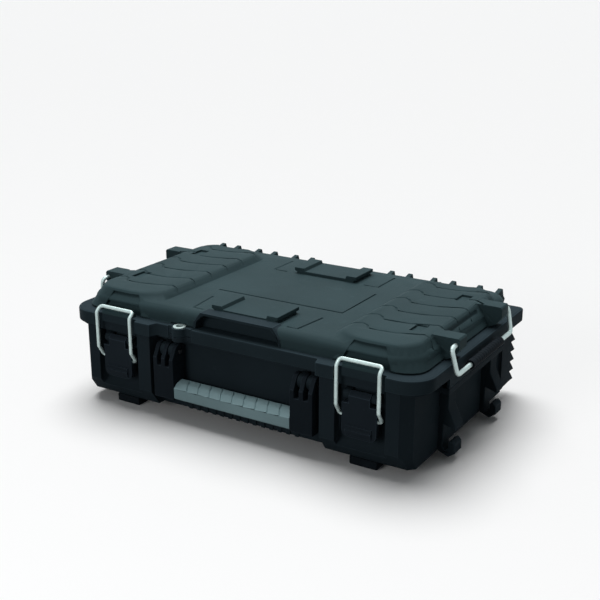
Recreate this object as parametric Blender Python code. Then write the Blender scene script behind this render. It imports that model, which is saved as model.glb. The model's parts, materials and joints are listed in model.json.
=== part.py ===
"""Stackable tool case: hollow base and lid, draw latches, front handle, side bails.

Metres, +Z up, front towards -Y, origin on the floor under the middle of the case.
"""
import math

import bmesh
import bpy
from mathutils import Matrix
from mathutils import Vector

# Fits
GAP = 0.0003             # between faces that touch
PIN_PLAY = 0.0003        # round a pin in its bore
FIT = 0.001              # lid skirt round the base collar
OVERLAP = 0.002          # how far fused shapes reach into each other

# Heights
FOOT_HEIGHT = 0.0115
BASE_TOP = 0.1230        # top of the base collar
WALL_TOP = 0.1165        # where the base wall ends under the lid skirt
SKIRT_BOTTOM = 0.1170
RIM_TOP = 0.1350
LID_TOP = 0.1570
PAD_TOP = 0.1660

# Base
WALL = 0.003
BASE_HALF_WIDTH = 0.2570
BASE_FRONT = 0.1650      # latch blocks
BASE_REAR = 0.1520
BASE_CORNER = 0.014
RECESS_HALF_WIDTH = 0.1335
RECESS_BACK = 0.1380     # wall behind the carry handle
TOE_HEIGHT = 0.0225      # bevel under the latch blocks
TOE_DEPTH = 0.0160
TOE_CORNER = 0.0290       # how far the bevel runs along each side of a front corner
COLLAR_HEIGHT = 0.010
COLLAR_REAR = 0.1575      # clear of the lid skirt as it turns on the hinge

# Lid rim
RIM_HALF_WIDTH = 0.2755
RIM_FRONT = 0.1690
RIM_CENTRE_FRONT = 0.1570
RIM_REAR = 0.1660
RIM_FRONT_CORNER = 0.036
RIM_REAR_CORNER = 0.008
RIM_STEP = 0.1260        # half width of the set-back middle
RIM_STEP_RUN = 0.004
RIM_EDGE = 0.0025        # rounding along the top of the rim
SKIRT = 0.004
SKIRT_HEADROOM = 0.0008
END_SKIRT_BOTTOM = 0.1040
END_SKIRT_HALF = 0.0930
END_BEAD_HEIGHT = 0.0075

# Lid crown
CROWN_HALF_WIDTH = 0.2580
CROWN_FRONT = 0.1500
CROWN_REAR = 0.1560
CROWN_CORNER = 0.034
CROWN_ROUND = 0.012
LID_WALL = 0.0035
PAD_INNER = 0.1270
PAD_OUTER = 0.2620
PAD_INNER_RUN = 0.005
PAD_SHOULDER = 0.1590    # where the inner side leans over to the top
PAD_SHOULDER_RUN = 0.010
PAD_OUTER_RUN = 0.016
PAD_FRONT = 0.1530
PAD_REAR = 0.1540
PAD_END_RUN = 0.013
PAD_REAR_RUN = 0.027
PAD_TAIL = 0.1225         # wavy step along the rear of a pad
PAD_TAIL_STEP = 0.0035
PAD_FOOT = 0.1370
PAD_ROUND = 0.004
PAD_CORNER_STEPS = 5

PAD_GROOVES = 6
PAD_GROOVE_PITCH = 0.0400
GROOVE = 0.0038          # width of the moulded lines
GROOVE_DEPTH = 0.0016
# Each wavy groove in plan: share of the pad's width, then how far it strays to the rear
PAD_WAVE = ((0.0, 0.0), (0.12, 0.008), (0.17, 0.010), (0.23, 0.006), (0.28, -0.004),
            (0.44, -0.004), (0.6, -0.002), (0.76, 0.005), (0.87, 0.010), (0.95, 0.006), (1.0, 0.0))
PAD_HOLLOW_INSET = 0.0130
PANEL_HALF_WIDTH = 0.1000  # engraved panel in the middle of the lid
PANEL_HALF_DEPTH = 0.0475
CORNER_LINE_NEAR = 0.0650
CORNER_LINE_FAR = 0.0880
CORNER_LINE_TURN = 0.0060
CHANNEL_HALF = 0.0480      # channel between the bail ears
EAR_STEP = 0.0030          # steps in the pad beside the ears
EAR_STEP_MARGIN = 0.0020

# Stacking cleats on the lid
CLEAT_HALF_WIDTH = 0.052
CLEAT_RIB = 0.016
CLEAT_NEAR = 0.078
CLEAT_FAR = 0.131
CLEAT_PLATFORM = 0.1615
CLEAT_UNDERCUT = 0.004

# Finger scoop in the front of the lid
SCOOP_HALF_WIDTH = 0.0655
SCOOP_TOP_HALF = 0.0530
SCOOP_CORNER = 0.0100
SCOOP_BACK = 0.1345
SCOOP_TOP = 0.1560
SCOOP_LIP = 0.0036

# Draw latches
LATCH_X = 0.1904
POCKET_HALF = 0.0350
POCKET_DEPTH = 0.0160
POCKET_BACK = BASE_FRONT - POCKET_DEPTH
POCKET_BOTTOM = 0.0340
POCKET_TOP = 0.1095
STRIKE_SETBACK = 0.0050
STRIKE_FRONT = BASE_FRONT - STRIKE_SETBACK    # base face above the lever
KEEPER_HALF = 0.0250
KEEPER_PROUD = 0.0010
KEEPER_RELIEF_DEPTH = 0.0030
KEEPER_FRONT = BASE_FRONT + KEEPER_PROUD
KEEPER_RELIEF = KEEPER_FRONT - KEEPER_RELIEF_DEPTH   # lid face beside the keeper, behind the wire
KEEPER_TOP = 0.1415
KEEPER_DEPTH = 0.0110
KEEPER_BACK = KEEPER_FRONT - KEEPER_DEPTH
KEEPER_BOTTOM = BASE_TOP + SKIRT_HEADROOM
LEVER_PROUD = 0.0015
LEVER_FRONT = BASE_FRONT + LEVER_PROUD
LEVER_PIVOT_DEPTH = 0.0085
LEVER_PIVOT_Y = LEVER_FRONT - LEVER_PIVOT_DEPTH
LEVER_PIVOT_Z = 0.0990
LEVER_HALF = 0.0240
LEVER_TONGUE_HALF = 0.0145
LEVER_THICK = 0.0100
LEVER_TOP = 0.1055
LEVER_BOSS = 0.0055
LEVER_CORNER = 0.0090
LATCH_EAR = 0.0060
LEVER_SHOULDER = 0.0900
LEVER_BOTTOM = 0.0450
LEVER_LIP = 0.0030
LATCH_PIN = 0.0040
WIRE = 0.0050
WIRE_HALF = 0.0291
WIRE_PIVOT_AHEAD = 0.0032
WIRE_PIVOT_Y = LEVER_PIVOT_Y + WIRE_PIVOT_AHEAD
WIRE_PIVOT_Z = 0.0720
WIRE_LOW = 0.0875
WIRE_HIGH = 0.1379
WIRE_CLEARANCE = 0.0027  # from the wire to the keeper in front
WIRE_HOOK = 0.0031       # how far the bar lies behind the keeper's face
WIRE_OUT = KEEPER_FRONT + WIRE / 2.0 + WIRE_CLEARANCE
WIRE_BAR_Y = KEEPER_FRONT - WIRE_HOOK
WIRE_BAR_Z = KEEPER_TOP + WIRE / 2.0 + 2.0 * GAP
WIRE_BEND = 0.0045
WIRE_GRIP = 0.0070       # how far the wire ends reach into the lever

# Carry handle
ARM_INNER = 0.0925
ARM_WIDTH = 0.0330
ARM_CLEARANCE = 0.0075   # from the arm to the wall behind it
ARM_DEPTH = 0.0225
ARM_BACK = RECESS_BACK + ARM_CLEARANCE
ARM_FRONT = ARM_BACK + ARM_DEPTH
ARM_BOTTOM = 0.0315
ARM_PRONG = 0.0060
ARM_SLOT_BOTTOM = 0.0790
HANDLE_PIVOT_Z = 0.0980
KNUCKLE = 0.0110
HANDLE_PIVOT_Y = ARM_BACK + KNUCKLE / 2.0
LUG_KNUCKLE = 0.0095
HANDLE_PIN = 0.0060
HANDLE_PIN_PROUD = 0.0015
GRIP_BOTTOM = 0.0336
GRIP_SHOULDER = 0.0504
GRIP_TOP = 0.0580
GRIP_SHELL = 0.0040
GRIP_GROOVES = 9
GRIP_GROOVE = 0.0022
GRIP_GROOVE_DEPTH = 0.0014
GRIP_GROOVE_LEAN = 0.0038

# Side bails
EAR_REACH = 0.0053       # past the rim
EAR_OUTER = RIM_HALF_WIDTH + EAR_REACH
BAIL_SETBACK = 0.0049
BAIL_LEAN = 0.0076
BAIL_PIVOT_X = EAR_OUTER - BAIL_SETBACK
BAIL_PIVOT_Z = 0.1567
BAIL_LEG_Y = 0.0945
BAIL_BAR_X = BAIL_PIVOT_X + BAIL_LEAN
BAIL_BAR_Y = 0.0904
BAIL_BAR_Z = 0.1226
BAIL_WIRE = 0.0060
BAIL_BEND = 0.0060
BAIL_GRIP = 0.0150       # how far the bail ends reach into the lugs
EAR_NEAR = 0.0584
EAR_FAR = 0.0818
EAR_TOP = 0.1654
SLEEVE_HALF = 0.0500
SLEEVE = 0.0120
SLEEVE_RINGS = 12
SLEEVE_RING_DEPTH = 0.0006

# Stacking hooks on the ends of the base
HOOK_NEAR = 0.0584
HOOK_FAR = 0.0800
HOOK_REACH = 0.0238      # from the end wall
HOOK_RIB_REACH = 0.0130
HOOK_OUTER = BASE_HALF_WIDTH + HOOK_REACH
HOOK_RIB = BASE_HALF_WIDTH + HOOK_RIB_REACH
HOOK_BOTTOM = 0.0055
HOOK_BEVEL = 0.0065
HOOK_FLOOR = 0.0135
HOOK_TIP = 0.0285
HOOK_MOUTH = 0.0435
HOOK_MOUTH_RISE = 0.0055
HOOK_BEAK = 0.0500
HOOK_FLARE = 0.0720
HOOK_LIP = 0.0092
HOOK_OPENING = 0.0076
HOOK_THROAT = HOOK_OUTER - HOOK_LIP - HOOK_OPENING

# Hinge and rear fins
HINGE_Y = 0.1640
HINGE_Z = 0.1210
HINGE_PIN = 0.0050
HINGE_KNUCKLE = 0.0060
HINGE_NOTCH_FRONT = 0.1562
HINGE_NOTCH_TOP = 0.1310
HINGE_STATIONS = (0.0845, 0.1540, 0.2250)
FIN_SPREAD = 0.0150      # from a station to the middle of each fin
FIN = 0.0070
FIN_TIP_Y = 0.1737
FIN_ROOT_Y = 0.1650
FIN_TOP = 0.1583
BASE_FIN_TOP = 0.0960
BASE_FIN_BOTTOM = 0.0210
BASE_FIN_TEETH = 5
CORNER_FIN_X = 0.2585
CORNER_FIN_ROOT_Y = 0.1590
CORNER_FIN = 0.0070

# Padlock tabs
TAB_X = -0.0870
TAB_Y = 0.1565
TAB_RADIUS = 0.0105
TAB_HALF = 0.0190
TAB_BACK = 0.1480
TAB_SPLIT = 0.1236       # the two tabs meet here
EYELET_BORE = 0.0100
EYELET_WALL = 0.0016
EYELET_FLANGE = 0.0020
EYELET_FLANGE_HEIGHT = 0.0012

# Seal
SEAL_WIDTH = 0.0050
SEAL_INSET = 0.0110      # from the rim outline to the outer edge of the seal
SEAL_HEIGHT = 0.0028

# Feet
FOOT_X = 0.1890
FOOT_HALF = 0.0193
FOOT_FRONT = 0.1507
FOOT_DEPTH = 0.0300
FOOT_BEVEL = 0.0020

# Ribs under the handle recess and lines on the front corners
TOE_RIBS = 14
TOE_RIB = 0.0060
TOE_RIB_HEIGHT = 0.0080

SIDES = (("left", -1), ("right", 1))
ROUND_SIDES = 16
WIRE_SIDES = 10


def clear_scene():
    for item in list(bpy.data.objects):
        bpy.data.objects.remove(item, do_unlink=True)


def plastic(name, colour, roughness, metallic=0.0):
    material = bpy.data.materials.new(name)
    material.use_nodes = True
    shader = material.node_tree.nodes["Principled BSDF"]
    shader.inputs["Base Color"].default_value = (*colour, 1.0)
    shader.inputs["Roughness"].default_value = roughness
    shader.inputs["Metallic"].default_value = metallic
    return material


def link(name, mesh):
    item = bpy.data.objects.new(name, mesh)
    bpy.context.scene.collection.objects.link(item)
    return item


def to_mesh(name, shape):
    bmesh.ops.recalc_face_normals(shape, faces=shape.faces)
    mesh = bpy.data.meshes.new(name)
    shape.to_mesh(mesh)
    shape.free()
    return mesh


def on_axis(axis, along, a, b):
    """A point at 'along' on one axis, with a and b on the other two in order."""
    if axis == "X":
        return Vector((along, a, b))
    if axis == "Y":
        return Vector((a, along, b))
    return Vector((a, b, along))


def prism(outline, axis, low, high):
    """A straight solid: an outline in a plane, pulled along one axis."""
    shape = bmesh.new()
    ring = [shape.verts.new(on_axis(axis, low, a, b)) for a, b in outline]
    cap = shape.faces.new(ring)
    pulled = bmesh.ops.extrude_face_region(shape, geom=[cap])
    moved = [part for part in pulled["geom"] if isinstance(part, bmesh.types.BMVert)]
    bmesh.ops.translate(shape, verts=moved, vec=on_axis(axis, high - low, 0.0, 0.0))
    return link("solid", to_mesh("solid", shape))


def loft(lower, z_low, upper, z_high):
    """A solid between two outlines with as many points, at two heights."""
    shape = bmesh.new()
    bottom = [shape.verts.new((x, y, z_low)) for x, y in lower]
    top = [shape.verts.new((x, y, z_high)) for x, y in upper]
    shape.faces.new(bottom)
    shape.faces.new(top)
    for index in range(len(bottom)):
        after = (index + 1) % len(bottom)
        shape.faces.new((bottom[index], bottom[after], top[after], top[index]))
    return link("solid", to_mesh("solid", shape))


def stack(levels):
    """A solid through several outlines with as many points, each at its height."""
    shape = bmesh.new()
    rings = [[shape.verts.new((x, y, z)) for x, y in outline] for outline, z in levels]
    shape.faces.new(rings[0])
    shape.faces.new(rings[-1])
    for lower, upper in zip(rings, rings[1:]):
        for index in range(len(lower)):
            after = (index + 1) % len(lower)
            shape.faces.new((lower[index], lower[after], upper[after], upper[index]))
    return link("solid", to_mesh("solid", shape))


def block(low, high):
    outline = [(low[0], low[1]), (high[0], low[1]), (high[0], high[1]), (low[0], high[1])]
    return prism(outline, "Z", low[2], high[2])


def arc(centre, radius, start, end, steps):
    points = []
    for index in range(steps + 1):
        angle = math.radians(start + (end - start) * index / steps)
        points.append((centre[0] + radius * math.cos(angle), centre[1] + radius * math.sin(angle)))
    return points


def disc(axis, centre, radius, low, high, sides=ROUND_SIDES):
    outline = arc(centre, radius, 0.0, 360.0, sides)[:-1]
    return prism(outline, axis, low, high)


def mirrored(half):
    """A full outline from its right half, which runs from the front to the rear."""
    return half + [(-x, y) for x, y in reversed(half)]


def tube(path, radius, sides=WIRE_SIDES, closed_ends=True):
    """A round bar along a path, with flat ends."""
    shape = bmesh.new()
    points = [Vector(point) for point in path]
    side = None
    rings = []
    for index, point in enumerate(points):
        before = points[max(index - 1, 0)]
        after = points[min(index + 1, len(points) - 1)]
        forward = (after - before).normalized()
        if side is None:
            side = forward.orthogonal().normalized()
        side = (side - forward * side.dot(forward)).normalized()
        up = forward.cross(side)
        spread = 1.0
        if 0 < index < len(points) - 1:
            half_turn = (point - before).angle(after - point) / 2.0
            spread = 1.0 / math.cos(half_turn)
        fold = Vector((0.0, 0.0, 0.0))
        if spread > 1.0001:
            fold = ((after - point).normalized() - (point - before).normalized()).normalized()
        ring = []
        for step in range(sides):
            angle = 2.0 * math.pi * step / sides
            offset = (side * math.cos(angle) + up * math.sin(angle)) * radius
            offset = offset + fold * offset.dot(fold) * (spread - 1.0)
            ring.append(shape.verts.new(point + offset))
        rings.append(ring)
    for first, second in zip(rings, rings[1:]):
        for step in range(sides):
            after = (step + 1) % sides
            shape.faces.new((first[step], first[after], second[after], second[step]))
    if closed_ends:
        shape.faces.new(rings[0])
        shape.faces.new(rings[-1])
    return link("bar", to_mesh("bar", shape))


def bent(corners, radius, steps=4):
    """A path through corners, each turned on an arc."""
    points = [Vector(corner) for corner in corners]
    path = [points[0]]
    for before, corner, after in zip(points, points[1:], points[2:]):
        into = (corner - before).normalized()
        out = (after - corner).normalized()
        turn = into.angle(out)
        reach = radius * math.tan(turn / 2.0)
        start = corner - into * reach
        normal = (out - into).normalized()
        middle = corner + normal * (radius / math.cos(turn / 2.0))
        axis = into.cross(out).normalized()
        for step in range(steps + 1):
            spin = Matrix.Rotation(turn * step / steps, 3, axis)
            path.append(middle + spin @ (start - middle))
    path.append(points[-1])
    return path


def shaped(target, tools, operation):
    """Join or cut the target with the tools, which are then gone."""
    group = bpy.data.collections.new("tools")
    bpy.context.scene.collection.children.link(group)
    for tool in tools:
        group.objects.link(tool)
    step = target.modifiers.new("shape", "BOOLEAN")
    step.operation = operation
    step.operand_type = "COLLECTION"
    step.collection = group
    step.solver = "EXACT"
    scene = bpy.context.evaluated_depsgraph_get()
    result = bpy.data.meshes.new_from_object(target.evaluated_get(scene))
    target.modifiers.clear()
    target.data = result
    for tool in tools:
        bpy.data.objects.remove(tool, do_unlink=True)
    bpy.data.collections.remove(group)
    return target


def joined(target, tools):
    return shaped(target, tools, "UNION")


def cut(target, tools):
    return shaped(target, tools, "DIFFERENCE")


def rounded(item, picks, radius, segments):
    """Round the edges whose two ends both satisfy the test."""
    shape = bmesh.new()
    shape.from_mesh(item.data)
    edges = [edge for edge in shape.edges if picks(edge)]
    bmesh.ops.bevel(
        shape,
        geom=edges,
        offset=radius,
        offset_type="OFFSET",
        segments=segments,
        profile=0.5,
        affect="EDGES",
        clamp_overlap=True,
    )
    mesh = to_mesh(item.name, shape)
    item.data = mesh
    return item


def welded(item):
    """Merge corners that lie closer than a tenth of a gap, and drop the slivers between them."""
    shape = bmesh.new()
    shape.from_mesh(item.data)
    bmesh.ops.remove_doubles(shape, verts=shape.verts[:], dist=GAP / 10.0)
    bmesh.ops.dissolve_degenerate(shape, edges=shape.edges[:], dist=GAP / 10.0)
    loose = [edge for edge in shape.edges if not edge.link_faces]
    bmesh.ops.delete(shape, geom=loose, context="EDGES")
    item.data = to_mesh(item.name, shape)
    return item


def faceted(item):
    """Split every face into triangles, so that each is truly flat."""
    shape = bmesh.new()
    shape.from_mesh(item.data)
    bmesh.ops.triangulate(shape, faces=shape.faces[:])
    item.data = to_mesh(item.name, shape)
    return item


def level_edge(height):
    """Edges that lie flat at a height."""
    def picks(edge):
        return all(abs(vert.co.z - height) < GAP / 10.0 for vert in edge.verts)
    return picks


def upright_edge(edge):
    return abs(edge.verts[0].co.z - edge.verts[1].co.z) > FIT


def finish(item, name, material, origin=(0.0, 0.0, 0.0), smooth=False):
    """Name a piece, give it its material and put its origin on its axis."""
    item.name = name
    item.data.name = name
    item.data.transform(Matrix.Translation(-Vector(origin)))
    item.location = Vector(origin)
    item.data.materials.clear()
    item.data.materials.append(material)
    if smooth:
        item.data.shade_smooth()
        item.data.set_sharp_from_angle(angle=math.radians(35.0))
    return item


def base_outline(inset, front):
    """The base wall in plan, with the recess for the handle in the front."""
    corner = BASE_CORNER - inset * (2.0 - math.sqrt(2.0))
    side = BASE_HALF_WIDTH - inset
    rear = BASE_REAR - inset
    half = [
        (RECESS_HALF_WIDTH + inset, -(RECESS_BACK - inset)),
        (RECESS_HALF_WIDTH + inset, -front),
        (side - corner, -front),
        (side, corner - front),
        (side, rear - corner),
        (side - corner, rear),
    ]
    return mirrored(half)


def rim_outline(inset, rear=RIM_REAR):
    """The lid rim in plan, drawn in by an inset."""
    turn = RIM_FRONT_CORNER
    tight = RIM_REAR_CORNER
    front_centre = (RIM_HALF_WIDTH - turn, turn - RIM_FRONT)
    rear_radius = max(tight - inset, FIT)
    rear_centre = (RIM_HALF_WIDTH - inset - rear_radius, rear - rear_radius)
    half = [
        (RIM_STEP + inset, inset - RIM_CENTRE_FRONT),
        (RIM_STEP + RIM_STEP_RUN + inset, inset - RIM_FRONT),
    ]
    half += arc(front_centre, turn - inset, -90.0, 0.0, 10)
    half += arc(rear_centre, rear_radius, 0.0, 90.0, 3)
    return mirrored(half)


def crown_outline(inset, front):
    turn = CROWN_CORNER - inset
    side = CROWN_HALF_WIDTH - inset - turn
    half = arc((side, turn - front), turn, -90.0, 0.0, 8)
    half += arc((side, CROWN_REAR - inset - turn), turn, 0.0, 90.0, 8)
    return mirrored(half)


def latch_pocket(side):
    """Space in the latch block for the lever and its wire, open to the front."""
    outside = RIM_FRONT + OVERLAP
    profile = [
        (-outside, POCKET_BOTTOM - TOE_DEPTH),
        (-POCKET_BACK, POCKET_BOTTOM),
        (-POCKET_BACK, POCKET_TOP),
        (-STRIKE_FRONT, POCKET_TOP),
        (-STRIKE_FRONT, BASE_TOP + OVERLAP),
        (-outside, BASE_TOP + OVERLAP),
    ]
    middle = side * LATCH_X
    return prism(profile, "X", middle - POCKET_HALF, middle + POCKET_HALF)


def latch_ears(side):
    """Two cheeks beside the lever tongue that carry its pin."""
    ears = []
    for cheek in (-1, 1):
        ends = sorted((
            side * LATCH_X + cheek * (LEVER_TONGUE_HALF + 2.0 * GAP),
            side * LATCH_X + cheek * LEVER_HALF,
        ))
        centre = (-LEVER_PIVOT_Y, LEVER_PIVOT_Z)
        front = arc(centre, LATCH_EAR, 90.0, 270.0, 8)
        root = -(POCKET_BACK - OVERLAP)
        profile = front + [(root, LEVER_PIVOT_Z - LATCH_EAR), (root, LEVER_PIVOT_Z + LATCH_EAR)]
        ears.append(prism(profile, "X", ends[0], ends[1]))
    return ears


def arm_slots(side, slack):
    """The two gaps between the three prongs of a handle arm, less some slack."""
    width = (ARM_WIDTH - 3.0 * ARM_PRONG) / 2.0
    spans = []
    for index in range(2):
        near = ARM_INNER + ARM_PRONG + index * (width + ARM_PRONG)
        spans.append(sorted((side * (near + slack), side * (near + width - slack))))
    return spans


def handle_lugs(side):
    centre = (-HANDLE_PIVOT_Y, HANDLE_PIVOT_Z)
    root = OVERLAP - RECESS_BACK
    profile = arc(centre, LUG_KNUCKLE, 90.0, 270.0, 8)
    profile += [(root, HANDLE_PIVOT_Z - LUG_KNUCKLE), (root, HANDLE_PIVOT_Z + LUG_KNUCKLE)]
    return [prism(profile, "X", low, high) for low, high in arm_slots(side, GAP)]


def stacking_hook(side, end):
    """A rib down the end wall that flares to a beak over an open hook."""
    lip = HOOK_OUTER - HOOK_LIP
    top = END_SKIRT_BOTTOM - END_BEAD_HEIGHT - 3.0 * GAP
    root = BASE_HALF_WIDTH + GAP
    profile = [
        (root, FOOT_HEIGHT),
        (lip, HOOK_BOTTOM),
        (HOOK_OUTER, HOOK_BOTTOM + HOOK_BEVEL),
        (HOOK_OUTER, HOOK_TIP - HOOK_LIP / 2.0),
        (HOOK_OUTER - HOOK_LIP / 2.0, HOOK_TIP),
        (lip, HOOK_TIP - HOOK_LIP / 4.0),
        (lip, HOOK_FLOOR + HOOK_LIP / 2.0),
        (lip - HOOK_LIP / 2.0, HOOK_FLOOR),
        (HOOK_THROAT, HOOK_FLOOR + HOOK_LIP / 2.0),
        (HOOK_THROAT, HOOK_MOUTH + HOOK_MOUTH_RISE),
        (HOOK_OUTER, HOOK_MOUTH),
        (HOOK_OUTER, HOOK_BEAK),
        (HOOK_RIB, HOOK_FLARE),
        (HOOK_RIB, top),
        (root, top),
    ]
    profile = [(side * x, z) for x, z in profile]
    near, far = sorted((end * HOOK_NEAR, end * HOOK_FAR))
    return prism(profile, "Y", near, far)


def station_fins():
    """Middles of the fins, two at each hinge station."""
    places = []
    for station in HINGE_STATIONS:
        for side in (-1, 1):
            for cheek in (-1, 1):
                places.append(side * station + cheek * FIN_SPREAD)
    return places


def base_fin(low, high, front, root):
    """A rib down the rear wall with barbs that are level underneath."""
    pitch = (BASE_FIN_TOP - BASE_FIN_BOTTOM) / BASE_FIN_TEETH
    profile = [(front, BASE_FIN_BOTTOM)]
    for tooth in range(BASE_FIN_TEETH):
        foot = BASE_FIN_BOTTOM + tooth * pitch
        profile.append((root, foot + FIT))
        profile.append((FIN_TIP_Y, foot))
        profile.append((FIN_TIP_Y, foot + FIT))
    profile.append((root, BASE_FIN_TOP))
    profile.append((front, BASE_FIN_TOP + OVERLAP))
    return prism(profile, "X", low, high)


def hinge_knuckle(middle):
    """The base's part of a hinge, between two lid ears."""
    half = FIN_SPREAD - FIN / 2.0 - 2.0 * GAP
    root = BASE_REAR - OVERLAP
    low = BASE_TOP - COLLAR_HEIGHT
    profile = [(root, low), (HINGE_Y, HINGE_Z - HINGE_KNUCKLE)]
    profile += arc((HINGE_Y, HINGE_Z), HINGE_KNUCKLE, -75.0, 105.0, 9)
    profile += [(COLLAR_REAR, BASE_TOP - GAP), (root, BASE_TOP - GAP)]
    return prism(profile, "X", middle - half, middle + half)


def hinge_bore(middle, half):
    bore = HINGE_PIN / 2.0 + PIN_PLAY
    return disc("X", (HINGE_Y, HINGE_Z), bore, middle - half, middle + half)


def hinge_middles():
    return [side * station for station in HINGE_STATIONS for side in (-1, 1)]


def tab_notch(low, high):
    half = TAB_HALF + GAP
    return block((TAB_X - half, -(RIM_FRONT + OVERLAP), low), (TAB_X + half, -TAB_BACK, high))


def eyelet_relief(low, high):
    """Room for an eyelet's flange beside a wall."""
    reach = EYELET_BORE / 2.0 + EYELET_WALL + EYELET_FLANGE + 2.0 * GAP
    return disc("Z", (TAB_X, -TAB_Y), reach, low, high, 2 * ROUND_SIDES)


def toe_corner(side):
    """Bevel under a front corner of the base, running out at the top of the toe."""
    outside = BASE_HALF_WIDTH + OVERLAP
    ahead = BASE_FRONT + OVERLAP
    levels = []
    for z, run in ((FOOT_HEIGHT - OVERLAP, TOE_CORNER), (FOOT_HEIGHT + TOE_HEIGHT, BASE_CORNER)):
        outline = [(outside - run, -ahead), (outside, -ahead), (outside, run - ahead)]
        levels.append(([(side * x, y) for x, y in outline], z))
    return stack(levels)


def build_base(material):
    shell = prism(base_outline(0.0, BASE_FRONT), "Z", FOOT_HEIGHT, WALL_TOP)
    collar = rim_outline(SKIRT + FIT, COLLAR_REAR)
    added = [prism(collar, "Z", BASE_TOP - COLLAR_HEIGHT, BASE_TOP)]
    bead_top = END_SKIRT_BOTTOM - 2.0 * GAP
    for name, side in SIDES:
        reach = sorted((side * (BASE_HALF_WIDTH - WALL), side * RIM_HALF_WIDTH))
        bead_low = (reach[0], -END_SKIRT_HALF, bead_top - END_BEAD_HEIGHT)
        added.append(block(bead_low, (reach[1], END_SKIRT_HALF, bead_top)))
        fin = sorted((side * (CORNER_FIN_X - CORNER_FIN / 2.0), side * (CORNER_FIN_X + CORNER_FIN / 2.0)))
        added.append(base_fin(fin[0], fin[1], BASE_REAR - 2.0 * BASE_CORNER, CORNER_FIN_ROOT_Y))
    for place in station_fins():
        added.append(base_fin(place - FIN / 2.0, place + FIN / 2.0, BASE_REAR - OVERLAP, FIN_ROOT_Y))
    pitch = 2.0 * ARM_INNER / TOE_RIBS
    for index in range(TOE_RIBS):
        place = (index + 0.5) * pitch - ARM_INNER
        added.append(block((place - TOE_RIB / 2.0, -(RECESS_BACK + OVERLAP), FOOT_HEIGHT),
                           (place + TOE_RIB / 2.0, OVERLAP - RECESS_BACK, FOOT_HEIGHT + TOE_RIB_HEIGHT)))
    joined(shell, added)

    toe = [
        (-(BASE_FRONT + OVERLAP), FOOT_HEIGHT - OVERLAP),
        (OVERLAP + TOE_DEPTH - BASE_FRONT, FOOT_HEIGHT - OVERLAP),
        (TOE_DEPTH - BASE_FRONT, FOOT_HEIGHT),
        (-BASE_FRONT, FOOT_HEIGHT + TOE_HEIGHT),
        (-(BASE_FRONT + OVERLAP), FOOT_HEIGHT + TOE_HEIGHT),
    ]
    removed = [prism(toe, "X", -RIM_HALF_WIDTH, RIM_HALF_WIDTH)]
    for name, side in SIDES:
        removed.append(toe_corner(side))
    hollow = base_outline(WALL, POCKET_BACK - WALL)
    removed.append(prism(hollow, "Z", FOOT_HEIGHT + WALL, BASE_TOP + OVERLAP))
    removed.append(tab_notch(WALL_TOP, BASE_TOP + OVERLAP))
    for name, side in SIDES:
        removed.append(latch_pocket(side))
    cut(shell, removed)

    carried = []
    for name, side in SIDES:
        carried += latch_ears(side)
        carried += handle_lugs(side)
    for middle in hinge_middles():
        carried.append(hinge_knuckle(middle))
    joined(shell, carried)

    bores = []
    for name, side in SIDES:
        low, high = sorted((side * (ARM_INNER - OVERLAP), side * (ARM_INNER + ARM_WIDTH + OVERLAP)))
        bores.append(disc("X", (-HANDLE_PIVOT_Y, HANDLE_PIVOT_Z), HANDLE_PIN / 2.0 + PIN_PLAY, low, high))
        reach = LEVER_HALF + OVERLAP
        middle = side * LATCH_X
        bores.append(disc("X", (-LEVER_PIVOT_Y, LEVER_PIVOT_Z), LATCH_PIN / 2.0 + PIN_PLAY,
                          middle - reach, middle + reach))
    for middle in hinge_middles():
        bores.append(hinge_bore(middle, FIN_SPREAD))
    cut(shell, bores)
    return finish(shell, "base_shell", material)


def ribbon(path, width, top, floor_at=None):
    """A cutter for a moulded line: a path along its floor, open above.

    If given, floor_at gives the height of the floor at each point of the line's two edges.
    """
    shape = bmesh.new()
    points = [Vector(point) for point in path]
    rings = []
    for index, point in enumerate(points):
        before = points[max(index - 1, 0)]
        after = points[min(index + 1, len(points) - 1)]
        run = Vector((after.x - before.x, after.y - before.y, 0.0)).normalized()
        across = Vector((-run.y, run.x, 0.0)) * (width / 2.0)
        left = point + across
        right = point - across
        if floor_at:
            left.z = floor_at(left)
            right.z = floor_at(right)
        corners = (left, right, Vector((right.x, right.y, top)), Vector((left.x, left.y, top)))
        rings.append([shape.verts.new(corner) for corner in corners])
    for first, second in zip(rings, rings[1:]):
        for step in range(4):
            after = (step + 1) % 4
            shape.faces.new((first[step], first[after], second[after], second[step]))
    shape.faces.new(rings[0])
    shape.faces.new(rings[-1])
    return link("line", to_mesh("line", shape))


def pad_height(x):
    """Height of a pad's surface at a distance from the middle of the case."""
    shoulder = PAD_INNER + PAD_INNER_RUN
    if x < shoulder + PAD_SHOULDER_RUN:
        return PAD_SHOULDER + (PAD_TOP - PAD_SHOULDER) * (x - shoulder) / PAD_SHOULDER_RUN
    if x > PAD_OUTER - PAD_OUTER_RUN:
        return PAD_FOOT + (PAD_TOP - PAD_FOOT) * (PAD_OUTER - x) / PAD_OUTER_RUN
    return PAD_TOP


def groove_floor(point):
    return pad_height(abs(point.x)) - GROOVE_DEPTH


def wavy_line(side, middle):
    """A wavy line across a pad in plan, from its inner shoulder to its outer slope."""
    inner = PAD_INNER + PAD_INNER_RUN + PAD_SHOULDER_RUN / 4.0
    outer = PAD_OUTER - PAD_OUTER_RUN / 2.0
    plan = []
    for share, stray in PAD_WAVE:
        place = share if side > 0 else 1.0 - share
        plan.append((inner + (outer - inner) * place, middle + stray))
    return sorted(plan)


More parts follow.
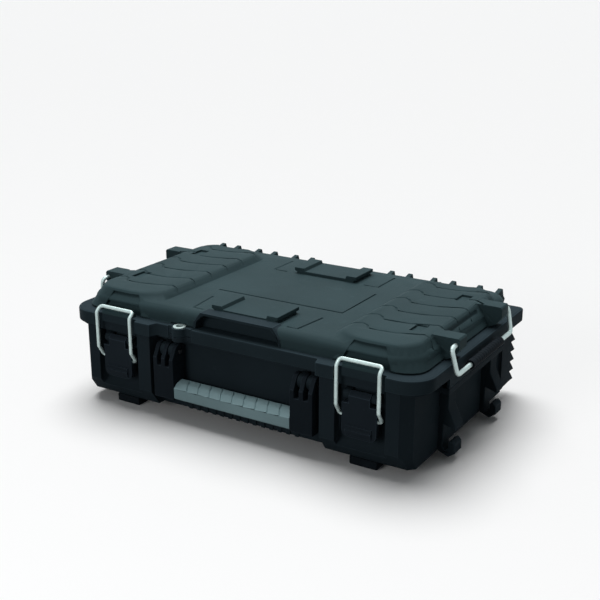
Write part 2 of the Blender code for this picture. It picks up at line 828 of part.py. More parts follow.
def pad_grooves(side):
    """Wavy lines across a pad, the same way round on both pads, and a step along its rear."""
    knees = (PAD_INNER + PAD_INNER_RUN + PAD_SHOULDER_RUN, PAD_OUTER - PAD_OUTER_RUN)
    lines = []
    for index in range(PAD_GROOVES):
        plan = wavy_line(side, (index - (PAD_GROOVES - 1) / 2.0) * PAD_GROOVE_PITCH)
        full = [plan[0]]
        for first, second in zip(plan, plan[1:]):
            for knee in knees:
                if first[0] < knee < second[0]:
                    part = (knee - first[0]) / (second[0] - first[0])
                    full.append((knee, first[1] + (second[1] - first[1]) * part))
            full.append(second)
        path = [(side * x, y, PAD_TOP) for x, y in full]
        lines.append(ribbon(path, GROOVE, PAD_TOP + OVERLAP, groove_floor))
    tail = [(side * x, y) for x, y in wavy_line(side, PAD_TAIL)]
    tail = [(side * PAD_INNER, tail[0][1])] + tail + [(side * PAD_OUTER, tail[-1][1])]
    tail += [(side * PAD_OUTER, PAD_REAR), (side * PAD_INNER, PAD_REAR)]
    lines.append(prism(tail, "Z", PAD_TOP - PAD_TAIL_STEP, PAD_TOP + OVERLAP))
    return lines


def panel_lines():
    """Engraved lines on the flat of the lid: a panel, and corners round the cleats."""
    floor = LID_TOP - GROOVE_DEPTH
    top = LID_TOP + OVERLAP
    across = PANEL_HALF_WIDTH
    deep = PANEL_HALF_DEPTH
    lines = [ribbon([(-across, -deep, floor), (across, -deep, floor), (across, deep, floor)], GROOVE, top)]
    for name, side in SIDES:
        near = side * CORNER_LINE_NEAR
        far = side * CORNER_LINE_FAR
        turn = side * (CORNER_LINE_FAR - CORNER_LINE_TURN)
        front = [(near, -CLEAT_FAR, floor), (turn, -CLEAT_FAR, floor), (far, -CLEAT_NEAR, floor)]
        rear = [(near, CLEAT_NEAR, floor), (far, CLEAT_NEAR, floor), (far, CLEAT_FAR, floor)]
        lines += [ribbon(front, GROOVE, top), ribbon(rear, GROOVE, top)]
    return lines


def ear_details(side):
    """Shallow steps in the pad beside the bail ears, and the channel between them."""
    cuts = []
    for end in (-1, 1):
        near, far = sorted((end * (EAR_NEAR - EAR_STEP_MARGIN), end * (EAR_FAR + EAR_STEP_MARGIN)))
        inner = PAD_OUTER - 2.0 * PAD_OUTER_RUN
        span = sorted((side * (inner - PAD_OUTER_RUN), side * (inner - GAP)))
        cuts.append(block((span[0], near, PAD_TOP - EAR_STEP), (span[1], far, PAD_TOP + OVERLAP)))
    place = side * (PAD_OUTER - 0.7 * PAD_OUTER_RUN)
    floor = pad_height(abs(place)) - GROOVE_DEPTH
    line = [(place, -CHANNEL_HALF, floor), (place, CHANNEL_HALF, floor)]
    cuts.append(ribbon(line, GROOVE, PAD_TOP + OVERLAP))
    return cuts


def lid_fin(low, high):
    """A pointed rib up the rear of the lid, from a hinge ear."""
    profile = [
        (COLLAR_REAR - OVERLAP, HINGE_NOTCH_TOP),
        (HINGE_Y, HINGE_Z + OVERLAP),
        (HINGE_Y + HINGE_KNUCKLE, HINGE_Z + OVERLAP),
        (FIN_TIP_Y, HINGE_Z + 2.0 * HINGE_KNUCKLE),
        (FIN_ROOT_Y + OVERLAP, RIM_TOP),
        (FIN_TIP_Y - OVERLAP, RIM_TOP + HINGE_KNUCKLE),
        (FIN_ROOT_Y, RIM_TOP + 2.0 * HINGE_KNUCKLE),
        (FIN_ROOT_Y - 2.0 * OVERLAP, FIN_TOP),
        (CROWN_REAR - CROWN_ROUND, LID_TOP - OVERLAP),
    ]
    return prism(profile, "X", low, high)


def cleat(end):
    """A raised plate with two higher side ribs, undercut along its sides."""
    near, far = sorted((end * CLEAT_NEAR, end * CLEAT_FAR))
    foot = CLEAT_HALF_WIDTH - CLEAT_UNDERCUT
    rib = CLEAT_HALF_WIDTH - CLEAT_RIB
    middle = (LID_TOP + PAD_TOP) / 2.0
    half = [
        (foot, LID_TOP - OVERLAP),
        (foot, middle - CLEAT_UNDERCUT / 2.0),
        (CLEAT_HALF_WIDTH, middle),
        (CLEAT_HALF_WIDTH, PAD_TOP),
        (rib, PAD_TOP),
        (rib - CLEAT_UNDERCUT / 2.0, CLEAT_PLATFORM),
    ]
    return prism(mirrored(half), "Y", near, far)


def pad(side):
    """A raised, bevelled plateau at one end of the crown."""
    shoulder = PAD_INNER + PAD_INNER_RUN
    levels = []
    for z, inner in ((PAD_FOOT, PAD_INNER), (PAD_SHOULDER, shoulder), (PAD_TOP, shoulder + PAD_SHOULDER_RUN)):
        share = (z - PAD_FOOT) / (PAD_TOP - PAD_FOOT)
        outer = PAD_OUTER - PAD_OUTER_RUN * share
        front = PAD_END_RUN * share - PAD_FRONT
        rear = PAD_REAR - PAD_REAR_RUN * share
        outline = [(inner, front), (outer, front), (outer, rear), (inner, rear)]
        levels.append(([(side * x, y) for x, y in outline], z))
    plateau = stack(levels)
    rounded(plateau, upright_edge, 2.0 * PAD_END_RUN, PAD_CORNER_STEPS)
    return faceted(rounded(plateau, level_edge(PAD_TOP), PAD_ROUND, 2))


def bail_ear(side, end):
    """A block at the end of the lid that carries one end of a bail."""
    inner = PAD_OUTER - 2.0 * PAD_OUTER_RUN
    bevel = BAIL_WIRE / 3.0
    profile = [
        (inner, RIM_TOP),
        (inner, EAR_TOP),
        (EAR_OUTER - bevel, EAR_TOP),
        (EAR_OUTER, EAR_TOP - bevel),
        (EAR_OUTER, BAIL_PIVOT_Z - BAIL_WIRE),
        (RIM_HALF_WIDTH - bevel, RIM_TOP + BAIL_WIRE),
        (PAD_OUTER, RIM_TOP),
    ]
    profile = [(side * x, z) for x, z in profile]
    near, far = sorted((end * EAR_NEAR, end * EAR_FAR))
    return prism(profile, "Y", near, far)


def scoop(grow, front, back):
    """Finger recess in the front of the crown, or the lip round it if grown."""
    half = [
        (SCOOP_HALF_WIDTH + grow, RIM_TOP),
        (SCOOP_HALF_WIDTH - OVERLAP + grow, SCOOP_TOP - SCOOP_CORNER),
        (SCOOP_TOP_HALF + grow, SCOOP_TOP + grow),
    ]
    return prism(mirrored(half), "Y", -front, -back)


def keeper(side):
    """The lip on the lid that the latch wire pulls on."""
    front = arc((KEEPER_TOP - KEEPER_FRONT - RIM_TOP, RIM_TOP), KEEPER_TOP - RIM_TOP, 180.0, 90.0, 3)
    profile = [(-KEEPER_FRONT, KEEPER_BOTTOM)] + front
    profile += [(-KEEPER_BACK, KEEPER_TOP), (-CROWN_FRONT, RIM_TOP - OVERLAP)]
    profile += [(-CROWN_FRONT, KEEPER_BOTTOM + FIT)]
    middle = side * LATCH_X
    return prism(profile, "X", middle - KEEPER_HALF, middle + KEEPER_HALF)


def latch_window(side):
    """Room in the lid for the wire: a notch in the rim and a shallow recess in the pad."""
    middle = side * LATCH_X
    outside = RIM_FRONT + OVERLAP
    low = SKIRT_BOTTOM - OVERLAP
    notch = block((middle - POCKET_HALF, -outside, low), (middle + POCKET_HALF, -KEEPER_RELIEF, KEEPER_TOP))
    under = block((middle - POCKET_HALF, -outside, low),
                  (middle + POCKET_HALF, FIT - STRIKE_FRONT, KEEPER_BOTTOM))
    sill = PAD_FRONT - PAD_ROUND / 2.0
    top = PAD_TOP - PAD_ROUND
    lower = [(middle - POCKET_HALF, -outside), (middle + POCKET_HALF, -outside),
             (middle + POCKET_HALF, PAD_ROUND - sill), (middle - POCKET_HALF, PAD_ROUND - sill)]
    narrow = POCKET_HALF - PAD_END_RUN
    upper = [(middle - narrow, -outside), (middle + narrow, -outside),
             (middle + narrow, PAD_END_RUN - sill), (middle - narrow, PAD_END_RUN - sill)]
    return [notch, under, loft(lower, RIM_TOP + GAP, upper, top)]


def build_lid(material):
    shell = rounded(prism(rim_outline(0.0), "Z", SKIRT_BOTTOM, RIM_TOP), level_edge(RIM_TOP), RIM_EDGE, 2)
    crown = prism(crown_outline(0.0, CROWN_FRONT), "Z", RIM_TOP - OVERLAP, LID_TOP)
    added = [rounded(crown, level_edge(LID_TOP), CROWN_ROUND, 4)]
    inner_skirt = RIM_HALF_WIDTH - SKIRT
    for name, side in SIDES:
        added.append(pad(side))
        reach = sorted((side * inner_skirt, side * RIM_HALF_WIDTH))
        added.append(block((reach[0], -END_SKIRT_HALF, END_SKIRT_BOTTOM),
                           (reach[1], END_SKIRT_HALF, SKIRT_BOTTOM + OVERLAP)))
        for end in (-1, 1):
            added.append(bail_ear(side, end))
    for end in (-1, 1):
        added.append(cleat(end))
    joined(shell, added)

    joined(shell, [scoop(SCOOP_LIP, CROWN_FRONT + FIT, SCOOP_BACK - SCOOP_LIP)])

    removed = [scoop(0.0, RIM_FRONT, SCOOP_BACK), tab_notch(SKIRT_BOTTOM - OVERLAP, RIM_TOP + OVERLAP)]
    removed.append(eyelet_relief(RIM_TOP, RIM_TOP + 4.0 * EYELET_FLANGE_HEIGHT))
    removed += panel_lines()
    for name, side in SIDES:
        removed += latch_window(side)
        removed += pad_grooves(side)
        removed += ear_details(side)
        inner = PAD_INNER + PAD_INNER_RUN + PAD_SHOULDER_RUN + PAD_END_RUN / 2.0
        inner, outer = sorted((side * inner, side * (PAD_OUTER - 2.0 * PAD_HOLLOW_INSET)))
        reach = 2.2 * PAD_HOLLOW_INSET
        rear = PAD_REAR - PAD_REAR_RUN - PAD_HOLLOW_INSET
        removed.append(block((inner, reach - PAD_FRONT, LID_TOP - CROWN_ROUND),
                             (outer, rear, PAD_TOP - LID_WALL - GROOVE_DEPTH)))
    under = SKIRT_BOTTOM - OVERLAP
    removed.append(prism(rim_outline(SKIRT), "Z", under, BASE_TOP + SKIRT_HEADROOM))
    hollow = prism(crown_outline(LID_WALL, SCOOP_BACK - LID_WALL), "Z", under, LID_TOP - LID_WALL)
    removed.append(rounded(hollow, level_edge(LID_TOP - LID_WALL), CROWN_ROUND - LID_WALL, 3))
    for middle in hinge_middles():
        half = FIN_SPREAD - FIN / 2.0
        removed.append(block((middle - half, HINGE_NOTCH_FRONT, under),
                             (middle + half, FIN_TIP_Y, HINGE_NOTCH_TOP)))
    cut(shell, removed)

    carried = []
    for name, side in SIDES:
        carried.append(keeper(side))
    for place in station_fins():
        carried.append(lid_fin(place - FIN / 2.0, place + FIN / 2.0))
        carried.append(disc("X", (HINGE_Y, HINGE_Z), HINGE_KNUCKLE, place - FIN / 2.0, place + FIN / 2.0))
    joined(shell, carried)

    groove_top = BASE_TOP + GAP + SEAL_HEIGHT + GAP
    ring = seal_ring(under, groove_top, GAP)
    bores = [ring]
    for middle in hinge_middles():
        bores.append(hinge_bore(middle, 2.0 * FIN_SPREAD))
    for name, side in SIDES:
        for end in (-1, 1):
            span = sorted((end * (EAR_FAR - BAIL_GRIP - GAP), end * (EAR_FAR + OVERLAP)))
            bores.append(disc("Y", (side * BAIL_PIVOT_X, BAIL_PIVOT_Z), BAIL_WIRE / 2.0 + PIN_PLAY,
                              span[0], span[1]))
    cut(shell, bores)
    return finish(welded(shell), "lid_shell", material)


def seal_ring(low, high, slack):
    """A ring that follows the rim, over the top of the base wall."""
    rear = RIM_REAR - SEAL_INSET
    ring = prism(rim_outline(SEAL_INSET - slack, rear + slack), "Z", low, high)
    inset = SEAL_INSET + SEAL_WIDTH + slack
    inside = rim_outline(inset, rear - SEAL_WIDTH - slack)
    return cut(ring, [prism(inside, "Z", low - OVERLAP, high + OVERLAP)])


def build_seal(material):
    ring = seal_ring(BASE_TOP + GAP, BASE_TOP + GAP + SEAL_HEIGHT, 0.0)
    return finish(ring, "lid_seal", material)


def build_tab(name, low, high, bore, material):
    """A padlock tab: a flat block with a rounded nose and a bore for the shackle."""
    nose = arc((TAB_X, -TAB_Y), TAB_RADIUS, 0.0, -180.0, 8)
    outline = [(TAB_X + TAB_HALF, -(TAB_BACK + GAP)), (TAB_X + TAB_HALF, -TAB_Y)] + nose
    outline += [(TAB_X - TAB_HALF, -TAB_Y), (TAB_X - TAB_HALF, -(TAB_BACK + GAP))]
    tab = prism(outline, "Z", low, high)
    cut(tab, [disc("Z", (TAB_X, -TAB_Y), bore, low - OVERLAP, high + OVERLAP)])
    return finish(tab, name, material)


def build_eyelet(name, low, high, flange_face, material):
    """A pressed metal ring: a sleeve with one flange, on the tab's outer face."""
    bore = EYELET_BORE / 2.0
    outer = bore + EYELET_WALL
    body = disc("Z", (TAB_X, -TAB_Y), outer, low, high, 2 * ROUND_SIDES)
    outward = math.copysign(EYELET_FLANGE_HEIGHT, flange_face - (low + high) / 2.0)
    edge = sorted((flange_face, flange_face + outward))
    joined(body, [disc("Z", (TAB_X, -TAB_Y), outer + EYELET_FLANGE, edge[0], edge[1], 2 * ROUND_SIDES)])
    cut(body, [disc("Z", (TAB_X, -TAB_Y), bore, low - FIT - OVERLAP, high + FIT + OVERLAP, 2 * ROUND_SIDES)])
    return finish(body, name, material, smooth=True)


def build_padlock_tabs(shell, metal):
    lid_top = RIM_TOP + 2.0 * GAP
    shackle = EYELET_BORE / 2.0
    build_tab("padlock_tab_lid", TAB_SPLIT + GAP, lid_top, shackle + EYELET_WALL + PIN_PLAY, shell)
    build_tab("padlock_tab_base", WALL_TOP + GAP, TAB_SPLIT - GAP, shackle, shell)
    flange = lid_top + GAP
    build_eyelet("padlock_eyelet_lid", TAB_SPLIT + GAP, flange + EYELET_FLANGE_HEIGHT / 2.0, flange, metal)


def build_hinge_pins(metal):
    half = FIN_SPREAD + FIN / 2.0 + FIT
    for index, middle in enumerate(sorted(hinge_middles())):
        pin = disc("X", (HINGE_Y, HINGE_Z), HINGE_PIN / 2.0, middle - half, middle + half)
        finish(pin, "hinge_pin_%d" % (index + 1), metal, (middle, HINGE_Y, HINGE_Z), smooth=True)


def build_lever(name, side, material):
    """A latch lever: a plate hung from a tongue, with a ridged lip to pull."""
    middle = side * LATCH_X
    half = LEVER_HALF
    corner = LEVER_CORNER
    right = [
        (LEVER_TONGUE_HALF, LEVER_PIVOT_Z),
        (LEVER_TONGUE_HALF, LEVER_SHOULDER),
        (half, LEVER_SHOULDER),
    ]
    right += arc((half - corner, LEVER_BOTTOM + corner), corner, 0.0, -90.0, 4)
    outline = [(middle + x, z) for x, z in mirrored(right)]
    plate = prism(outline, "Y", -LEVER_FRONT, LEVER_THICK - LEVER_FRONT)
    bevel = LEVER_BOSS
    tongue = [
        (-LEVER_FRONT, LEVER_SHOULDER - OVERLAP),
        (-LEVER_FRONT, LEVER_TOP - bevel),
        (bevel - LEVER_FRONT, LEVER_TOP),
    ]
    tongue += arc((-LEVER_PIVOT_Y, LEVER_PIVOT_Z), LEVER_BOSS, 75.0, -75.0, 6)
    tongue.append((LEVER_THICK - LEVER_FRONT, LEVER_SHOULDER - OVERLAP))
    added = [prism(tongue, "X", middle - LEVER_TONGUE_HALF, middle + LEVER_TONGUE_HALF)]
    lip = [
        (FIT - LEVER_FRONT, LEVER_BOTTOM + 2.2 * corner),
        (-LEVER_FRONT - LEVER_LIP, LEVER_BOTTOM + corner),
        (-LEVER_FRONT - LEVER_LIP * 0.7, LEVER_BOTTOM + corner * 0.4),
        (FIT - LEVER_FRONT, LEVER_BOTTOM + corner * 0.2),
    ]
    reach = half - corner * 0.7
    added.append(prism(lip, "X", middle - reach, middle + reach))
    for ridge in (1.1, 1.7):
        rise = LEVER_BOTTOM + corner * ridge
        added.append(disc("X", (-LEVER_FRONT - LEVER_LIP * (2.0 - ridge), rise), LEVER_LIP / 2.0,
                          middle - reach, middle + reach, 8))
    joined(plate, added)
    bores = [disc("X", (-LEVER_PIVOT_Y, LEVER_PIVOT_Z), LATCH_PIN / 2.0 + PIN_PLAY,
                  middle - half, middle + half)]
    for cheek in (-1, 1):
        ends = sorted((middle + cheek * (half - WIRE_GRIP - GAP), middle + cheek * (half + OVERLAP)))
        bores.append(disc("X", (-WIRE_PIVOT_Y, WIRE_PIVOT_Z), WIRE / 2.0 + PIN_PLAY, ends[0], ends[1]))
    cut(plate, bores)
    return finish(plate, name, material, (middle, -LEVER_PIVOT_Y, LEVER_PIVOT_Z))


def build_latch_wire(name, side, material):
    middle = side * LATCH_X
    inner = LEVER_HALF - WIRE_GRIP
    half = [
        (inner, -WIRE_PIVOT_Y, WIRE_PIVOT_Z),
        (WIRE_HALF, -WIRE_PIVOT_Y, WIRE_PIVOT_Z),
        (WIRE_HALF, -WIRE_OUT, WIRE_LOW),
        (WIRE_HALF, -WIRE_OUT, WIRE_HIGH),
        (WIRE_HALF, -WIRE_BAR_Y, WIRE_BAR_Z),
    ]
    corners = [(middle - x, y, z) for x, y, z in half] + [(middle + x, y, z) for x, y, z in reversed(half)]
    wire = tube(bent(corners, WIRE_BEND), WIRE / 2.0)
    return finish(wire, name, material, (middle, -WIRE_PIVOT_Y, WIRE_PIVOT_Z), smooth=True)


def build_latches(plastic_part, wire_metal, pin_metal):
    for name, side in SIDES:
        build_lever("latch_lever_" + name, side, plastic_part)
        build_latch_wire("latch_wire_" + name, side, wire_metal)
        middle = side * LATCH_X
        half = LEVER_HALF
        pin = disc("X", (-LEVER_PIVOT_Y, LEVER_PIVOT_Z), LATCH_PIN / 2.0, middle - half, middle + half)
        finish(pin, "latch_pin_" + name, pin_metal, (middle, -LEVER_PIVOT_Y, LEVER_PIVOT_Z), smooth=True)


def grip_profile(inset):
    """The grip in section; the inset gives the bar inside it."""
    front = inset - ARM_FRONT
    back = -(ARM_BACK + GAP + inset)
    rise = GRIP_TOP - GRIP_SHOULDER
    return [
        (front, GRIP_BOTTOM + inset + rise / 3.0),
        (front, GRIP_SHOULDER - inset / 2.0),
        (front + rise, GRIP_TOP - inset - rise / 4.0),
        (back - rise / 2.0, GRIP_TOP - inset),
        (back, GRIP_TOP - inset - rise / 2.0),
        (back, GRIP_BOTTOM + inset + rise / 3.0),
        (back - rise / 3.0, GRIP_BOTTOM + inset),
        (front + rise / 3.0, GRIP_BOTTOM + inset),
    ]


def build_handle(frame_material, grip_material, pin_metal):
    centre = (-HANDLE_PIVOT_Y, HANDLE_PIVOT_Z)
    bevel = ARM_PRONG / 3.0
    profile = [
        (-ARM_FRONT, ARM_BOTTOM + bevel),
        (bevel - ARM_FRONT, ARM_BOTTOM),
        (-(ARM_BACK + bevel), ARM_BOTTOM),
        (-ARM_BACK, ARM_BOTTOM + bevel),
    ]
    profile += arc(centre, KNUCKLE, -30.0, 150.0, 9)
    profile.append((-ARM_FRONT, HANDLE_PIVOT_Z - 0.75 * KNUCKLE))
    frame = prism(grip_profile(GRIP_SHELL), "X", -(ARM_INNER + OVERLAP), ARM_INNER + OVERLAP)
    arms = []
    removed = []
    for name, side in SIDES:
        low, high = sorted((side * ARM_INNER, side * (ARM_INNER + ARM_WIDTH)))
        arms.append(prism(profile, "X", low, high))
        for near, far in arm_slots(side, 0.0):
            removed.append(block((near, -(ARM_FRONT + OVERLAP), ARM_SLOT_BOTTOM),
                                 (far, OVERLAP - ARM_BACK + KNUCKLE, HANDLE_PIVOT_Z + 2.0 * KNUCKLE)))
        removed.append(disc("X", centre, HANDLE_PIN / 2.0 + PIN_PLAY, low - OVERLAP, high + OVERLAP))
        pin_ends = sorted((side * (ARM_INNER - HANDLE_PIN_PROUD), side * (ARM_INNER + ARM_WIDTH)))
        pin = disc("X", centre, HANDLE_PIN / 2.0, pin_ends[0], pin_ends[1])
        finish(pin, "handle_pin_" + name, pin_metal, (pin_ends[0], centre[0], centre[1]), smooth=True)
    joined(frame, arms)
    cut(frame, removed)
    axis_point = (0.0, centre[0], centre[1])
    finish(frame, "handle_frame", frame_material, axis_point)

    end = ARM_INNER - 2.0 * GAP
    grip = prism(grip_profile(0.0), "X", -end, end)
    cut(grip, [prism(grip_profile(GRIP_SHELL - GAP), "X", -(end + OVERLAP), end + OVERLAP)])
    grooves = []
    pitch = 2.0 * end / (GRIP_GROOVES + 1)
    front, ridge, back = grip_profile(0.0)[1:4]
    for index in range(GRIP_GROOVES):
        place = -end + pitch * (index + 1)
        lean = GRIP_GROOVE_LEAN
        path = [(place + lean, front[0], front[1]), (place, ridge[0], ridge[1])]
        path.append((place - lean, back[0], back[1]))
        path = [(x, y, z - GRIP_GROOVE_DEPTH) for x, y, z in path]
        grooves.append(ribbon(path, GRIP_GROOVE, GRIP_TOP + OVERLAP))
    cut(grip, grooves)
    finish(grip, "handle_grip", grip_material, axis_point)


def build_sleeve(name, side, material):
    """A ribbed sleeve round the middle of a bail."""
    shape = bmesh.new()
    bore = BAIL_WIRE / 2.0 + PIN_PLAY
    outer = SLEEVE / 2.0
    pitch = 2.0 * SLEEVE_HALF / (SLEEVE_RINGS + 2)
    profile = [(bore, -SLEEVE_HALF), (outer, -SLEEVE_HALF)]
    for index in range(SLEEVE_RINGS):
        foot = -SLEEVE_HALF + pitch * (index + 1)
        profile.append((outer, foot + pitch * 0.3))
        profile.append((outer - SLEEVE_RING_DEPTH, foot + pitch * 0.5))
        profile.append((outer, foot + pitch * 0.7))
    profile += [(outer, SLEEVE_HALF), (bore, SLEEVE_HALF)]
    rings = []
    for radius, along in profile:
        ring = []
        for x, z in arc((side * BAIL_BAR_X, BAIL_BAR_Z), radius, 0.0, 360.0, ROUND_SIDES)[:-1]:
            ring.append(shape.verts.new((x, along, z)))
        rings.append(ring)
    for first, second in zip(rings, rings[1:] + rings[:1]):
        for step in range(ROUND_SIDES):
            after = (step + 1) % ROUND_SIDES
            shape.faces.new((first[step], first[after], second[after], second[step]))
    sleeve = link(name, to_mesh(name, shape))
    return finish(sleeve, name, material, (side * BAIL_PIVOT_X, 0.0, BAIL_PIVOT_Z), smooth=True)


def build_bails(metal, rubber):
    for name, side in SIDES:
        half = [
            (BAIL_PIVOT_X, EAR_FAR - BAIL_GRIP, BAIL_PIVOT_Z),
            (BAIL_PIVOT_X, BAIL_LEG_Y, BAIL_PIVOT_Z),
            (BAIL_BAR_X, BAIL_BAR_Y, BAIL_BAR_Z),
        ]
        corners = [(side * x, -y, z) for x, y, z in half] + [(side * x, y, z) for x, y, z in reversed(half)]
        wire = tube(bent(corners, BAIL_BEND), BAIL_WIRE / 2.0)
        finish(wire, "side_bail_" + name, metal, (side * BAIL_PIVOT_X, 0.0, BAIL_PIVOT_Z), smooth=True)
        build_sleeve("bail_sleeve_" + name, side, rubber)


def build_hooks(material):
    for name, side in SIDES:
        for place, end in (("front", -1), ("rear", 1)):
            finish(stacking_hook(side, end), "stacking_hook_%s_%s" % (place, name), material)


def build_feet(material):
    for name, side in SIDES:
        for place, end in (("front", -1), ("rear", 1)):
            near, far = sorted((end * (FOOT_FRONT - FOOT_DEPTH), end * FOOT_FRONT))
            middle = side * FOOT_X
            foot = block((middle - FOOT_HALF, near, 0.0), (middle + FOOT_HALF, far, FOOT_HEIGHT - GAP))
            rounded(foot, level_edge(0.0), FOOT_BEVEL, 2)
            finish(foot, "foot_%s_%s" % (place, name), material)


def main():
    clear_scene()
    shell = plastic("dark_shell_plastic", (0.036, 0.052, 0.056), 0.55)
    lid = plastic("dark_lid_plastic", (0.050, 0.073, 0.078), 0.55)
    black = plastic("black_plastic", (0.012, 0.015, 0.017), 0.50)
    grey = plastic("grey_grip_rubber", (0.19, 0.26, 0.27), 0.60)
    rubber = plastic("black_rubber", (0.012, 0.013, 0.014), 0.75)
    zinc = plastic("zinc_wire", (0.62, 0.66, 0.67), 0.30, 1.0)
    steel = plastic("pin_steel", (0.50, 0.52, 0.53), 0.35, 1.0)
    build_base(shell)
    build_hooks(shell)
    build_lid(lid)
    build_seal(rubber)
    build_padlock_tabs(shell, zinc)
    build_hinge_pins(steel)
    build_latches(black, zinc, steel)
    build_handle(black, grey, steel)
    build_bails(zinc, rubber)
    build_feet(rubber)


main()
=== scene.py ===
# %% [markdown]
# # A stackable tool case
# The case is moulded from dark blue-grey plastic: a hollow base, a hinged lid with two raised pads,
# zinc wire latches, a grey carry handle and wire bails at the ends. The solids already have the right
# size and place, so this file is about how they look: soft moulded edges, fine grain, plated wire.

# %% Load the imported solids
import json
import math

import bmesh
import bpy
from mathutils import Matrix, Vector
from mathutils.bvhtree import BVHTree


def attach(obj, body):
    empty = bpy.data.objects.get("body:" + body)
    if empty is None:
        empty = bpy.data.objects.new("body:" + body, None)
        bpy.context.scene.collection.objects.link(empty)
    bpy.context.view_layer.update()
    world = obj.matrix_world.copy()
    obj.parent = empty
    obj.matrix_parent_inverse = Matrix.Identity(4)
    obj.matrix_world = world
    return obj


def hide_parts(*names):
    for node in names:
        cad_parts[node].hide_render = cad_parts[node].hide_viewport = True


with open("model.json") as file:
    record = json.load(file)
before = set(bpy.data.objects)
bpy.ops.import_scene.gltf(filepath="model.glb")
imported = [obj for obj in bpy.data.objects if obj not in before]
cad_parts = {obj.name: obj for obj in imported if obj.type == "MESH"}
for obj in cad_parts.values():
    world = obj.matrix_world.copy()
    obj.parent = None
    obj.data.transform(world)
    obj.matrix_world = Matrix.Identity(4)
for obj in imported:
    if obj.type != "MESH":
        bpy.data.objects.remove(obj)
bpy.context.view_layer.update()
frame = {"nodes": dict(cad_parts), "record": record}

# %% [markdown]
# ## Small helpers
# Operators act on whatever is selected, and the loader leaves everything selected. One helper clears
# the selection and makes a single object active. The record says on which body each solid rides and
# from which slot it takes its finish, so both are looked up there and not typed again.

# %% Helpers
bodies = frame["record"]["behaviour"]["bodies"]
BODY_OF = {node: body for body, nodes in bodies.items() for node in nodes}
SLOT_OF = {part["node"]: part["material_slot"] for part in frame["record"]["subparts"]}


def pick(item):
    if bpy.context.object and bpy.context.object.mode != "OBJECT":
        bpy.ops.object.mode_set(mode="OBJECT")
    bpy.ops.object.select_all(action="DESELECT")
    item.select_set(True)
    bpy.context.view_layer.objects.active = item


print("bodies known for", len(BODY_OF), "solids, slots for", len(SLOT_OF))

# %% [markdown]
# ## Tone and grain
# No real surface has one flat colour or one even gloss. Pigment, plating and dust leave broad patches
# that are a little darker or paler, and a fine grain breaks up the gloss. Both could be painted as
# pictures, but a noise on object coordinates needs no unwrapping and stays sharp at any distance. One
# helper starts a material, one lays a noise over the object, one turns a noise into two colours, and the
# last two use them for the patches and for the grain, which drives the roughness and a bump.

# %% Tone and grain
GRAIN_LOW = 0.3   # the noise value at which the grain is glossiest
GRAIN_HIGH = 0.7  # and at which it is dullest
SOFT_NOISE = 0.5


def new_finish(name):
    finish = bpy.data.materials.new(name)
    finish.use_nodes = True
    nodes = finish.node_tree.nodes
    links = finish.node_tree.links
    shader = nodes["Principled BSDF"]
    place = nodes.new("ShaderNodeTexCoord")
    return finish, nodes, links, shader, place


def noise_at(nodes, links, place, scale, detail, rough=SOFT_NOISE):
    noise = nodes.new("ShaderNodeTexNoise")
    noise.inputs["Scale"].default_value = scale
    noise.inputs["Detail"].default_value = detail
    noise.inputs["Roughness"].default_value = rough
    links.new(place.outputs["Object"], noise.inputs["Vector"])
    return noise


def ramp_of(nodes, links, source, stops):
    ramp = nodes.new("ShaderNodeValToRGB")
    for element, (where, colour) in zip(ramp.color_ramp.elements, stops):
        element.position = where
        element.color = (*colour, 1.0)
    links.new(source, ramp.inputs["Fac"])
    return ramp


def times(colour, factor):
    return tuple(channel * factor for channel in colour)


def patchy_tone(nodes, links, place, colour, patches, dark, pale):
    noise = noise_at(nodes, links, place, *patches)
    stops = [(where, times(colour, factor)) for where, factor in (dark, pale)]
    return ramp_of(nodes, links, noise.outputs["Fac"], stops)


def add_grain(nodes, links, place, shader, scale, detail, glossy, dull, strength, depth):
    fine = noise_at(nodes, links, place, scale, detail)
    stops = [(GRAIN_LOW, (glossy,) * 3), (GRAIN_HIGH, (dull,) * 3)]
    gloss = ramp_of(nodes, links, fine.outputs["Fac"], stops)
    links.new(gloss.outputs["Color"], shader.inputs["Roughness"])
    bump = nodes.new("ShaderNodeBump")
    bump.inputs["Strength"].default_value = strength
    bump.inputs["Distance"].default_value = depth
    links.new(fine.outputs["Fac"], bump.inputs["Height"])
    links.new(bump.outputs["Normal"], shader.inputs["Normal"])


# %% [markdown]
# ## Moulded plastic
# The shell plastic has a spark-eroded grain: tiny dimples that break up the gloss. A fine noise drives a
# bump and the roughness, a broad noise shifts the colour a little as pigment does, and a middle one
# leaves a few paler scuffs. Modelling the dimples would take millions of faces, so they stay in the
# material. The rounded edges get their own paler finish, which is a painted highlight.

# %% Plastic recipe
PIGMENT_PATCHES = (9.0, 4.0, SOFT_NOISE)  # scale, detail and roughness of the noise
PIGMENT_DARK = (0.3, 0.88)                # a noise value, and the colour there as a share
PIGMENT_PALE = (0.7, 1.1)
SCUFF_PATCHES = (42.0, 9.0, 0.72)
SCUFF_START = 0.6
SCUFF_FULL = 0.78
UNTOUCHED = (0, 0, 0)
SCUFFED = (1, 1, 1)
PLASTIC_GLOSSIER = 0.07
PLASTIC_DULLER = 0.09
PLASTIC_GRAIN_DETAIL = 2.0
PLASTIC_BUMP = 0.5


